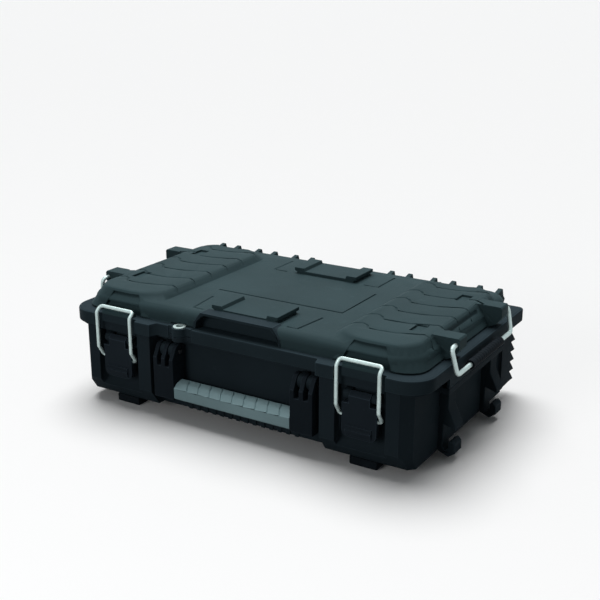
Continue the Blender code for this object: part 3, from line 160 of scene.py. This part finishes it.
def moulded_plastic(name, colour, rough, grain=1500.0, grain_depth=0.00006, scuff=1.35, sheen=0.02):
    finish, nodes, links, shader, place = new_finish(name)
    tone = patchy_tone(nodes, links, place, colour, PIGMENT_PATCHES, PIGMENT_DARK, PIGMENT_PALE)
    rubs = noise_at(nodes, links, place, *SCUFF_PATCHES)
    rub_stops = [(SCUFF_START, UNTOUCHED), (SCUFF_FULL, SCUFFED)]
    where = ramp_of(nodes, links, rubs.outputs["Fac"], rub_stops)
    mix = nodes.new("ShaderNodeMix")
    mix.data_type = "RGBA"
    links.new(where.outputs["Color"], mix.inputs["Factor"])
    links.new(tone.outputs["Color"], mix.inputs["A"])
    mix.inputs["B"].default_value = (*times(colour, scuff), 1.0)
    links.new(mix.outputs["Result"], shader.inputs["Base Color"])
    add_grain(nodes, links, place, shader, grain, PLASTIC_GRAIN_DETAIL, rough - PLASTIC_GLOSSIER,
              rough + PLASTIC_DULLER, PLASTIC_BUMP, grain_depth)
    shader.inputs["Specular IOR Level"].default_value = sheen
    return finish


# %% [markdown]
# ## The case's plastics
# The base is a dark blue-grey plastic. The lid is of the same plastic, but its colour is paler, a painted
# sheen of the overhead light, and its rim is darker, painted shade. The handle frame and the levers are
# nearly black, and the grip is a pale grey. One material with a changing colour could serve for all, but
# separate ones are easier to adjust. Every plastic has a twin for its edges, paler, which is a painted
# highlight, and smoother, by the same recipe.

# %% Plastic finishes
# The lid's colour is the base's plastic made paler: a painted sheen of the overhead light.
LID_COLOUR_WITH_SHEEN = (0.035, 0.062, 0.069)
# The rim's colour is painted shade, for the rim, the scoop, the frame round it and the lid's padlock tab.
RIM_SHADE_COLOUR = (0.026, 0.041, 0.050)
BASE_COLOUR = (0.022, 0.033, 0.041)
BLACK_COLOUR = (0.014, 0.020, 0.026)
LEVER_COLOUR = times(BLACK_COLOUR, 1.45)
GRIP_COLOUR = (0.320, 0.470, 0.500)
SHELL_ROUGH = 0.66
RIM_ROUGH = 0.62
BLACK_ROUGH = 0.56
GRIP_ROUGH = 0.62
EDGE_GRAIN = 900.0
EDGE_DEPTH = 0.00002
BLACK_GRAIN = dict(grain=1900.0, grain_depth=0.00004, scuff=1.5)
GRIP_GRAIN = dict(grain=1100.0, grain_depth=0.00009, scuff=1.12)
GRIP_EDGE_DEPTH = 0.00003


# the edge twin is paler than its plastic: a painted highlight along the rounded edges
def painted_edge_highlight(name, colour, paler, rough, depth=EDGE_DEPTH):
    return moulded_plastic(name, times(colour, paler), rough, EDGE_GRAIN, depth)


# the lid's paler colour is a painted sheen of the overhead light
lid_plastic_painted_sheen = moulded_plastic("lid_plastic_painted_sheen", LID_COLOUR_WITH_SHEEN, SHELL_ROUGH, sheen=0.05)
lid_edge = painted_edge_highlight("lid_painted_edge_highlight", LID_COLOUR_WITH_SHEEN, paler=1.15, rough=0.55)
# the rim's colour is painted shade, and its edge twin adds a painted highlight
rim_painted_shade = moulded_plastic("lid_rim_painted_shade", RIM_SHADE_COLOUR, RIM_ROUGH)
rim_shade_edge_highlight = painted_edge_highlight("lid_rim_shade_edge_highlight", RIM_SHADE_COLOUR, paler=1.6, rough=0.5)
base_plastic = moulded_plastic("base_plastic", BASE_COLOUR, SHELL_ROUGH)
base_edge = painted_edge_highlight("base_painted_edge_highlight", BASE_COLOUR, paler=1.25, rough=0.55)
black_plastic = moulded_plastic("black_latch_plastic", BLACK_COLOUR, BLACK_ROUGH, **BLACK_GRAIN)
black_edge = painted_edge_highlight("black_painted_edge_highlight", BLACK_COLOUR, paler=1.5, rough=0.48)
lever_plastic = moulded_plastic("lever_plastic", LEVER_COLOUR, BLACK_ROUGH, **BLACK_GRAIN)
# the levers' edges are far paler than the levers: a strong painted highlight
lever_edge = painted_edge_highlight("lever_painted_edge_highlight", BLACK_COLOUR, paler=3.0, rough=0.48)
grip_rubber = moulded_plastic("grey_grip_rubber", GRIP_COLOUR, GRIP_ROUGH, **GRIP_GRAIN)
grip_edge = painted_edge_highlight("grey_grip_painted_edge_highlight", GRIP_COLOUR, paler=1.15, rough=0.55, depth=GRIP_EDGE_DEPTH)
print("plastic finishes made:", len(bpy.data.materials), "materials now")

# %% [markdown]
# ## Plated wire, steel pins and rubber
# Zinc plate is bright but never a mirror: it shows a fine crystal mottling. Rubber is almost black, dull,
# with a dusty bloom where it isn't touched. A plain metal or black would look like a toy, so both get
# the same two layers as the plastic, patches and grain, at their own scales.

# %% Metal and rubber finishes
PLATE_PATCHES = (260.0, 5.0, 0.6)
PLATE_DARK = (0.3, 0.86)
PLATE_PALE = (0.7, 1.06)
PLATE_GRAIN = 2400.0
PLATE_GRAIN_DETAIL = 2.0
PLATE_GLOSSIER = 0.06
PLATE_DULLER = 0.1
PLATE_BUMP = 0.25
PLATE_DEPTH = 0.00003
BLOOM_PATCHES = (70.0, 7.0, 0.65)
BLOOM_DARK = (0.35, 0.8)
BLOOM_PALE = (0.75, 1.4)
RUBBER_GRAIN = 1700.0
RUBBER_GRAIN_DETAIL = 3.0
RUBBER_GLOSSY = 0.66
RUBBER_DULL = 0.86
RUBBER_BUMP = 0.5
RUBBER_DEPTH = 0.0001
RUBBER_SHEEN = 0.05
ZINC_COLOUR = (0.45, 0.54, 0.53)
PIN_COLOUR = (0.060, 0.066, 0.070)
RUBBER_COLOUR = (0.009, 0.013, 0.017)


def plated_metal(name, colour, rough):
    finish, nodes, links, shader, place = new_finish(name)
    tone = patchy_tone(nodes, links, place, colour, PLATE_PATCHES, PLATE_DARK, PLATE_PALE)
    links.new(tone.outputs["Color"], shader.inputs["Base Color"])
    add_grain(nodes, links, place, shader, PLATE_GRAIN, PLATE_GRAIN_DETAIL, rough - PLATE_GLOSSIER,
              rough + PLATE_DULLER, PLATE_BUMP, PLATE_DEPTH)
    shader.inputs["Metallic"].default_value = 1.0
    return finish


def dull_rubber(name, colour):
    finish, nodes, links, shader, place = new_finish(name)
    tone = patchy_tone(nodes, links, place, colour, BLOOM_PATCHES, BLOOM_DARK, BLOOM_PALE)
    links.new(tone.outputs["Color"], shader.inputs["Base Color"])
    add_grain(nodes, links, place, shader, RUBBER_GRAIN, RUBBER_GRAIN_DETAIL, RUBBER_GLOSSY,
              RUBBER_DULL, RUBBER_BUMP, RUBBER_DEPTH)
    shader.inputs["Specular IOR Level"].default_value = RUBBER_SHEEN
    return finish


zinc_plate = plated_metal("zinc_plate", ZINC_COLOUR, rough=0.52)
pin_steel = plated_metal("blackened_pin_steel", PIN_COLOUR, rough=0.5)
black_rubber = dull_rubber("black_rubber", RUBBER_COLOUR)
print("metal and rubber finishes made:", len(bpy.data.materials), "materials now")

# %% [markdown]
# ## Soft moulded edges
# A sharp corner never leaves a mould: every outside edge has a small radius that catches the light. A
# bevel by angle alone would also round the thin moulded lines and blur them. So a copy of each solid is
# merged, and each outside edge that turns by more than a set angle gets a bevel weight, but only where
# the plastic is flat for a couple of millimetres on both sides. The wide faces get their radius, and the
# thin lines stay crisp and dark.

# %% Choosing the edges
TURN = math.radians(28.0)
ROOM = 0.0022
FLAT_ENOUGH = 0.1  # share of the room by which the surface may fall away


def weigh_outside_edges(piece):
    shape = bmesh.new()
    shape.from_mesh(piece.data)
    weight = shape.edges.layers.float.new("bevel_weight_edge")
    surface = BVHTree.FromBMesh(shape)
    chosen = 0
    for edge in shape.edges:
        if edge.calc_face_angle_signed(0.0) < TURN:
            continue
        start, end = (vert.co for vert in edge.verts)
        middle = (start + end) / 2.0
        free = True
        for face in edge.link_faces:
            inward = face.normal.cross(end - start).normalized()
            if inward.dot(face.calc_center_median() - middle) < 0.0:
                inward.negate()
            _, _, _, away = surface.find_nearest(middle + inward * ROOM)
            free = free and away < FLAT_ENOUGH * ROOM
        if free:
            edge[weight] = 1.0
            chosen += 1
    shape.to_mesh(piece.data)
    shape.free()
    return chosen


# %% [markdown]
# A Bevel modifier then rounds the chosen edges, and its new faces take the second material, the paler
# edge, which is a painted highlight. Where edges of different lengths meet, a bevel can throw a point off
# the solid, so stray points are set back on it. Weighted normals keep the flat faces looking flat beside
# their soft edges, and a fold that turns by more than the crease angle keeps its line.

# %% Rounding helpers
MERGE = 0.00002
STRAY = 0.6    # share of the bevel's width by which a point may leave the solid
CREASE = 46.0  # degrees
FEW_STEPS = 2
MORE_STEPS = 3


def settle(piece, source, width):
    surface = BVHTree.FromPolygons([v.co for v in source.data.vertices],
                                   [tuple(f.vertices) for f in source.data.polygons])
    moved = 0
    for vert in piece.data.vertices:
        place, _, _, away = surface.find_nearest(vert.co)
        if away > STRAY * width:
            vert.co = place
            moved += 1
    return moved


def softened(node, name, width, steps, finishes, crease=CREASE):
    source = frame["nodes"][node]
    piece = bpy.data.objects.new(name, source.data.copy())
    bpy.context.scene.collection.objects.link(piece)
    pick(piece)
    bpy.ops.object.mode_set(mode="EDIT")
    bpy.ops.mesh.select_all(action="SELECT")
    bpy.ops.mesh.remove_doubles(threshold=MERGE)
    bpy.ops.mesh.select_all(action="DESELECT")
    bpy.ops.object.mode_set(mode="OBJECT")
    piece.data.materials.clear()
    for finish in finishes:
        piece.data.materials.append(finish)
    for face in piece.data.polygons:
        face.material_index = 0
    chosen = weigh_outside_edges(piece)
    rounding = piece.modifiers.new("rounding", "BEVEL")
    rounding.limit_method = "WEIGHT"
    rounding.width = width
    rounding.segments = steps
    rounding.use_clamp_overlap = False
    rounding.miter_outer = "MITER_ARC"
    # the bevel's faces take the last finish, the paler edge, a painted highlight
    rounding.material = len(finishes) - 1
    bpy.ops.object.modifier_apply(modifier="rounding")
    moved = settle(piece, source, width)
    bpy.ops.object.shade_smooth_by_angle(angle=math.radians(crease))
    flat_light = piece.modifiers.new("flat_light", "WEIGHTED_NORMAL")
    flat_light.keep_sharp = True
    bpy.ops.object.modifier_apply(modifier="flat_light")
    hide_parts(node)
    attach(piece, BODY_OF[node])
    print(name, chosen, "edges rounded,", len(piece.data.polygons), "faces,", moved, "points set back")
    return piece


# %% [markdown]
# ## Shells
# The lid and the base are the two large mouldings. They could be modelled again from primitives, but the
# solids already hold every rib and pocket, so softened copies of them are shown. Their outside corners
# are rounded by under a millimetre, which keeps the crisp look of the real case but lets each edge show
# as a thin light line. The lid gets a smaller crease angle, so that the shallow steps on it stay sharp.

# %% Lid and base
LID_SOFT = 0.0007
BASE_SOFT = 0.0006
LID_CREASE = 30.0
lid = softened("lid_shell", "lid_moulding", LID_SOFT, FEW_STEPS, (lid_plastic_painted_sheen, lid_edge), LID_CREASE)
softened("base_shell", "base_moulding", BASE_SOFT, FEW_STEPS, (base_plastic, base_edge))

# %% [markdown]
# ## The shaded parts of the lid
# The rim of the lid, the finger scoop at its front and the frame round the scoop get a darker colour than
# the grained top, which is painted shade, and a slightly smoother finish. They are part of one moulding,
# so instead of cutting the lid apart, their faces are picked by where they lie and get their own two
# materials.
# The frame is what stands proud of the rounded front of the crown.

# %% Rim, scoop and frame
RIM_TOP = 0.1353
SCOOP_HALF = 0.0650
SCOOP_FRONT = -0.1490
SCOOP_BACK = -0.1343
SCOOP_TOP = 0.1563
FRAME_HALF = 0.0700
FRAME_BACK = -0.1315
CROWN_ROUND_Y = -0.1380    # the axis of the rounded front edge of the crown
CROWN_ROUND_Z = 0.1450
CROWN_ROUND_OUT = 0.0122   # just over the radius of that rounding
# the shift moves faces to the rim's two materials, which carry painted shade
PAINTED_SHADE_SHIFT = 2           # from the lid's materials to the rim's


# picks the faces that get painted shade: the rim, the scoop and the frame
def is_painted_shade(place):
    on_the_rim = place.z < RIM_TOP
    across_the_scoop = abs(place.x) < SCOOP_HALF and place.z < SCOOP_TOP
    in_the_scoop = across_the_scoop and SCOOP_FRONT < place.y < SCOOP_BACK
    outward = max(CROWN_ROUND_Y - place.y, 0.0)
    upward = max(place.z - CROWN_ROUND_Z, 0.0)
    proud_of_the_crown = math.hypot(outward, upward) > CROWN_ROUND_OUT
    on_the_frame = abs(place.x) < FRAME_HALF and place.y < FRAME_BACK and proud_of_the_crown
    return on_the_rim or in_the_scoop or on_the_frame


lid.data.materials.append(rim_painted_shade)
lid.data.materials.append(rim_shade_edge_highlight)
painted_shade_faces = [face for face in lid.data.polygons if is_painted_shade(face.center)]
for face in painted_shade_faces:
    face.material_index += PAINTED_SHADE_SHIFT
print("faces with the smoother finish:", len(painted_shade_faces))

# %% [markdown]
# ## Lips over the latch recesses
# Above each wire loop the lid has a sloping lip that sheds dirt from the latch. It is a small wedge that
# grows out of the lid, lower at its ends than in the middle. It could be a bent sheet, but a block stays
# closed however it is shaped. A cube is set in place, its upper front edge is pulled down to make the
# slope, and cuts along its length let the back edge sink in an arch.

# %% Lips over the latches
LATCH_X = 0.1904
LIP_HALF = 0.0345
LIP_BACK = -0.1372
LIP_FRONT = -0.1487
LIP_LOW = 0.1488
LIP_HIGH = 0.1630
LIP_DROP = 0.0117      # from the back edge down to the front edge
LIP_LEAN = 0.0005      # how far the upper front edge leans back
LIP_FLAT = 0.0150      # half of the level stretch of the back edge
LIP_ARCH = 0.0066      # how far the ends of the back edge sink
LIP_ARCH_OUT = 0.0040  # how far they come forward
LIP_ARCH_POWER = 1.5
LIP_TUCK = 0.0030      # how far the front edge turns in at its ends
LIP_TUCK_POWER = 4
LIP_CUTS = 11
LIP_NEAR = 0.001       # how close to a cut its points lie
LIP_SOFT = 0.0009
LIP_TURN = math.radians(30.0)
LIP_CREASE = math.radians(60.0)


def pick_points(piece, wanted):
    bpy.ops.mesh.select_mode(type="VERT")
    bpy.ops.mesh.select_all(action="DESELECT")
    shape = bmesh.from_edit_mesh(piece.data)
    for vert in shape.verts:
        vert.select = wanted(vert.co)
    shape.select_flush_mode()
    bmesh.update_edit_mesh(piece.data)


def pick_long_edges(piece, length):
    bpy.ops.mesh.select_mode(type="EDGE")
    bpy.ops.mesh.select_all(action="DESELECT")
    shape = bmesh.from_edit_mesh(piece.data)
    for edge in shape.edges:
        start, end = (vert.co for vert in edge.verts)
        edge.select = abs(start.x - end.x) > length
    bmesh.update_edit_mesh(piece.data)


def latch_lip(name, middle):
    half_y = (LIP_BACK + LIP_FRONT) / 2.0
    half_z = (LIP_LOW + LIP_HIGH) / 2.0
    bpy.ops.object.select_all(action="DESELECT")
    bpy.ops.mesh.primitive_cube_add(size=1.0, location=(middle, half_y, half_z),
                                    scale=(2.0 * LIP_HALF, LIP_BACK - LIP_FRONT, LIP_HIGH - LIP_LOW))
    lip = bpy.context.object
    lip.name = name
    bpy.ops.object.transform_apply(location=True, rotation=True, scale=True)
    bpy.ops.object.mode_set(mode="EDIT")
    pick_points(lip, lambda at: at.y < half_y and at.z > half_z)
    bpy.ops.transform.translate(value=(0.0, LIP_LEAN, -LIP_DROP))
    pick_long_edges(lip, LIP_HALF)
    bpy.ops.mesh.subdivide(number_cuts=LIP_CUTS)
    for step in range(LIP_CUTS + 2):
        across = -LIP_HALF + 2.0 * LIP_HALF * step / (LIP_CUTS + 1)
        beyond = max(0.0, abs(across) - LIP_FLAT) / (LIP_HALF - LIP_FLAT)
        if beyond == 0.0:
            continue
        at_x = middle + across
        arch = beyond ** LIP_ARCH_POWER
        tuck = beyond ** LIP_TUCK_POWER
        pick_points(lip, lambda at: abs(at.x - at_x) < LIP_NEAR and at.y > half_y and at.z > half_z)
        bpy.ops.transform.translate(value=(0.0, -LIP_ARCH_OUT * arch, -LIP_ARCH * arch))
        pick_points(lip, lambda at: abs(at.x - at_x) < LIP_NEAR and at.y < half_y)
        bpy.ops.transform.translate(value=(0.0, LIP_TUCK * tuck, 0.0))
    bpy.ops.mesh.select_all(action="SELECT")
    bpy.ops.mesh.normals_make_consistent(inside=False)
    bpy.ops.object.mode_set(mode="OBJECT")
    # the lip takes the lid's colour with its painted sheen
    lip.data.materials.append(lid_plastic_painted_sheen)
    rounding = lip.modifiers.new("rounding", "BEVEL")
    rounding.width = LIP_SOFT
    rounding.segments = MORE_STEPS
    rounding.limit_method = "ANGLE"
    rounding.angle_limit = LIP_TURN
    bpy.ops.object.modifier_apply(modifier="rounding")
    bpy.ops.object.shade_smooth_by_angle(angle=LIP_CREASE)
    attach(lip, "lid")
    print(name, len(lip.data.polygons), "faces")


latch_lip("latch_lip_left", -LATCH_X)
latch_lip("latch_lip_right", LATCH_X)

# %% [markdown]
# ## Stacking hooks, padlock tabs and feet
# These are smaller mouldings of the same plastic, and the feet are of rubber. Their edges are rounder
# than the shells', because hands and other cases slide along them. They are softened copies of their
# solids too, so that all edges on the case come from one recipe.

# %% Hooks, tabs, feet
HOOK_SOFT = 0.0012
FOOT_SOFT = 0.0010
TAB_SOFT = 0.0008
for side in ("left", "right"):
    for end in ("front", "rear"):
        corner = "%s_%s" % (end, side)
        softened("stacking_hook_" + corner, "hook_" + corner, HOOK_SOFT, MORE_STEPS,
                 (base_plastic, base_edge))
        softened("foot_" + corner, "pad_foot_" + corner, FOOT_SOFT, MORE_STEPS,
                 (black_rubber, black_rubber))
# the lid's padlock tab gets the rim's painted shade
softened("padlock_tab_lid", "tab_upper", TAB_SOFT, FEW_STEPS, (rim_painted_shade, rim_shade_edge_highlight))
softened("padlock_tab_base", "tab_lower", TAB_SOFT, FEW_STEPS, (base_plastic, base_edge))

# %% [markdown]
# ## Handle and latch levers
# The handle is a black frame with a grey grip moulded over its bar. The levers are black too, with two
# ridges for the fingertips. Frame and grip are separate solids, so each simply gets its own plastic, and
# no mask is needed to divide one surface into two colours.

# %% Handle and levers
HANDLE_SOFT = 0.0008
GRIP_SOFT = 0.0009
LEVER_SOFT = 0.0006
softened("handle_frame", "handle_moulding", HANDLE_SOFT, MORE_STEPS, (black_plastic, black_edge))
softened("handle_grip", "grip_overmould", GRIP_SOFT, MORE_STEPS, (grip_rubber, grip_edge))
for side in ("left", "right"):
    softened("latch_lever_" + side, "lever_" + side, LEVER_SOFT, FEW_STEPS, (lever_plastic, lever_edge))

# %% [markdown]
# ## Wire, pins and the seal
# The bent wires, the ribbed sleeves on the bails, the pins and the eyelet already have their true round
# shape, and the seal is a plain ring inside. They could be drawn again as curves with a thickness, but
# that would only repeat the same shapes, so they keep their solids and get a finish. The solids that a
# piece above stands for are hidden, and get theirs as well.

# %% Finishes on the solids that stay
KEPT = {
    "zinc_wire": zinc_plate,
    "pin_steel": pin_steel,
    "black_rubber": black_rubber,
    "shell": base_plastic,
    "lid": lid_plastic_painted_sheen,
    "black_plastic": black_plastic,
    "grey_grip": grip_rubber,
}
for name, node in frame["nodes"].items():
    node.data.materials.clear()
    node.data.materials.append(KEPT[SLOT_OF[name]])
print("finishes on", len(frame["nodes"]), "solids")

# %% [markdown]
# ## Floor
# The case stands on a pale studio floor. A plain white floor would throw so much light back that the dark
# sides turn grey. So it looks white to the camera and to reflections, but sends only a little light back
# at the case: the kind of ray chooses between two colours. The sky, made next, uses the same choice.

# %% Floor
FLOOR_SIZE = 60.0
FLOOR_ROUGH = 0.9
FLOOR_SHEEN = 0.1
FLOOR_GIVES = (0.10, 0.10, 0.10, 1.0)
FLOOR_SHOWS = (0.95, 0.95, 0.95, 1.0)


def rays_that_look(nodes, links):
    ray = nodes.new("ShaderNodeLightPath")
    mirrored = nodes.new("ShaderNodeMath")
    mirrored.operation = "MAXIMUM"
    links.new(ray.outputs["Is Glossy Ray"], mirrored.inputs[0])
    links.new(ray.outputs["Is Transmission Ray"], mirrored.inputs[1])
    seen = nodes.new("ShaderNodeMath")
    seen.operation = "MAXIMUM"
    links.new(ray.outputs["Is Camera Ray"], seen.inputs[0])
    links.new(mirrored.outputs[0], seen.inputs[1])
    return seen


bpy.ops.object.select_all(action="DESELECT")
bpy.ops.mesh.primitive_plane_add(size=FLOOR_SIZE, location=(0.0, 0.0, 0.0))
floor = bpy.context.object
floor.name = "studio_floor"
paper, nodes, links, shader, _ = new_finish("pale_floor")
shader.inputs["Roughness"].default_value = FLOOR_ROUGH
shader.inputs["Specular IOR Level"].default_value = FLOOR_SHEEN
seen = rays_that_look(nodes, links)
shade = nodes.new("ShaderNodeMix")
shade.data_type = "RGBA"
links.new(seen.outputs[0], shade.inputs["Factor"])
shade.inputs["A"].default_value = FLOOR_GIVES
shade.inputs["B"].default_value = FLOOR_SHOWS
links.new(shade.outputs["Result"], shader.inputs["Base Color"])
floor.data.materials.append(paper)
print("floor laid,", FLOOR_SIZE, "m across")

# %% [markdown]
# ## Light
# A broad soft light overhead, a weak lamp from the front and a weak even sky. The top of the case gets
# about the light at which a colour shows as written, and the sides fall off to near black as in the
# photograph. A lamp near the case would do it too, but its light would fade along the lid, so the main
# light is a wide sun, which is even everywhere.

# %% Light
SKY_COLOUR = (0.93, 0.98, 1.0, 1.0)
SKY_GIVES = 0.12
SKY_SHOWS = 1.0
SUN_POWER = 2.8
SUN_WIDTH = math.radians(50.0)
SUN_TILT = (math.radians(-16.0), math.radians(-13.0), 0.0)
FILL_PLACE = (-0.5, -3.0, 1.1)
FILL_SIZE = 1.2
FILL_POWER = 17.0
CASE_MIDDLE = (0.0, 0.0, 0.12)

world = bpy.data.worlds.new("studio_sky")
bpy.context.scene.world = world
world.use_nodes = True
nodes = world.node_tree.nodes
links = world.node_tree.links
sky = nodes["Background"]
sky.inputs["Color"].default_value = SKY_COLOUR
seen = rays_that_look(nodes, links)
level = nodes.new("ShaderNodeMapRange")
level.inputs["To Min"].default_value = SKY_GIVES
level.inputs["To Max"].default_value = SKY_SHOWS
links.new(seen.outputs[0], level.inputs["Value"])
links.new(level.outputs["Result"], sky.inputs["Strength"])

sun = bpy.data.lights.new("overhead", "SUN")
sun.energy = SUN_POWER
sun.angle = SUN_WIDTH
overhead = bpy.data.objects.new("overhead", sun)
bpy.context.scene.collection.objects.link(overhead)
overhead.rotation_euler = SUN_TILT

lamp = bpy.data.lights.new("front_fill", "AREA")
lamp.shape = "DISK"
lamp.size = FILL_SIZE
lamp.energy = FILL_POWER
front_fill = bpy.data.objects.new("front_fill", lamp)
bpy.context.scene.collection.objects.link(front_fill)
front_fill.location = FILL_PLACE
front_fill.rotation_mode = "QUATERNION"
front_fill.rotation_quaternion = (Vector(CASE_MIDDLE) - Vector(FILL_PLACE)).to_track_quat("-Z", "Y")
bpy.context.scene.view_settings.view_transform = "Standard"
print("lights:", overhead.name, "and", front_fill.name)

# %% [markdown]
# ## Camera
# The place, aim and lens were worked out from the photograph, so that the corners of the solids fall
# where they do in the picture. Set by eye, small errors of the camera would look like wrong proportions.

# %% Camera
CAMERA_PLACE = (0.7183, -1.1615, 0.5902)
CAMERA_AIM = Vector((-0.00045, 0.0091, 0.1421))
FOCAL_LENGTH = 61.12  # millimetres
SENSOR_WIDTH = 36.0

lens = bpy.data.cameras.new("camera")
lens.lens = FOCAL_LENGTH
lens.sensor_width = SENSOR_WIDTH
camera = bpy.data.objects.new("camera", lens)
bpy.context.scene.collection.objects.link(camera)
camera.location = CAMERA_PLACE
camera.rotation_mode = "QUATERNION"
camera.rotation_quaternion = (CAMERA_AIM - camera.location).to_track_quat("-Z", "Y")
bpy.context.scene.camera = camera
print("camera", round((CAMERA_AIM - camera.location).length, 3), "m from the case")
